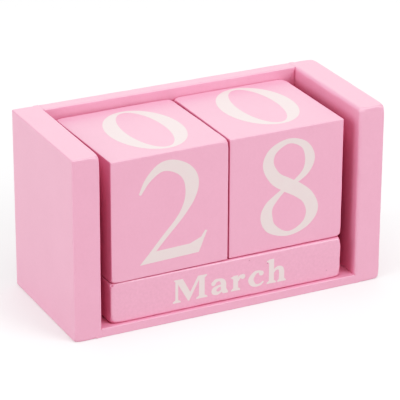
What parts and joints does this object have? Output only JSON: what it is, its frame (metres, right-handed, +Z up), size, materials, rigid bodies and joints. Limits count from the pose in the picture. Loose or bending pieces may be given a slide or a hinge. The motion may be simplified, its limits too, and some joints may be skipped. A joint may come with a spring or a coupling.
{
  "type": "perpetual block calendar",
  "caption": "Desk calendar with numbered cubes standing on square month bars in an open painted wooden tray.",
  "frame": {"origin": "centre of the tray's underside", "axes": "+X along the tray to its right end, +Y from the open front to the back panel, +Z up"},
  "size_m": [0.133, 0.0586, 0.0747],
  "materials": {
    "tray_paint": "satin pink paint over wood",
    "block_paint": "satin pink paint over wood, worn at the edges",
    "pin_steel": "plain drawn wire",
    "white_ink": "thin white screen-printed ink"
  },
  "bodies": {
    "tray": {"left_side_panel": "tray_paint", "right_side_panel": "tray_paint", "back_panel": "tray_paint", "base_panel": "tray_paint", "left_pins": "pin_steel", "right_pins": "pin_steel"},
    "left_cube": {"left_cube": "block_paint"},
    "right_cube": {"right_cube": "block_paint"},
    "month_bar_rear": {"month_bar_rear": "block_paint"},
    "month_bar_middle": {"month_bar_middle": "block_paint"},
    "month_bar_front": {"month_bar_front": "block_paint"}
  },
  "joints": [
    {"name": "left_cube_lift", "type": "slide", "parent": "tray", "child": "left_cube", "axis": [0, 0, 1], "range_m": [0, 0.06]},
    {"name": "right_cube_lift", "type": "slide", "parent": "tray", "child": "right_cube", "axis": [0, 0, 1], "range_m": [0, 0.06]},
    {"name": "rear_bar_slide", "type": "slide", "parent": "tray", "child": "month_bar_rear", "axis": [0, -1, 0], "range_m": [0, 0.055]},
    {"name": "middle_bar_slide", "type": "slide", "parent": "month_bar_rear", "child": "month_bar_middle", "axis": [0, -1, 0], "range_m": [0, 0.038]},
    {"name": "front_bar_slide", "type": "slide", "parent": "month_bar_middle", "child": "month_bar_front", "axis": [0, -1, 0], "range_m": [0, 0.021]}
  ]
}
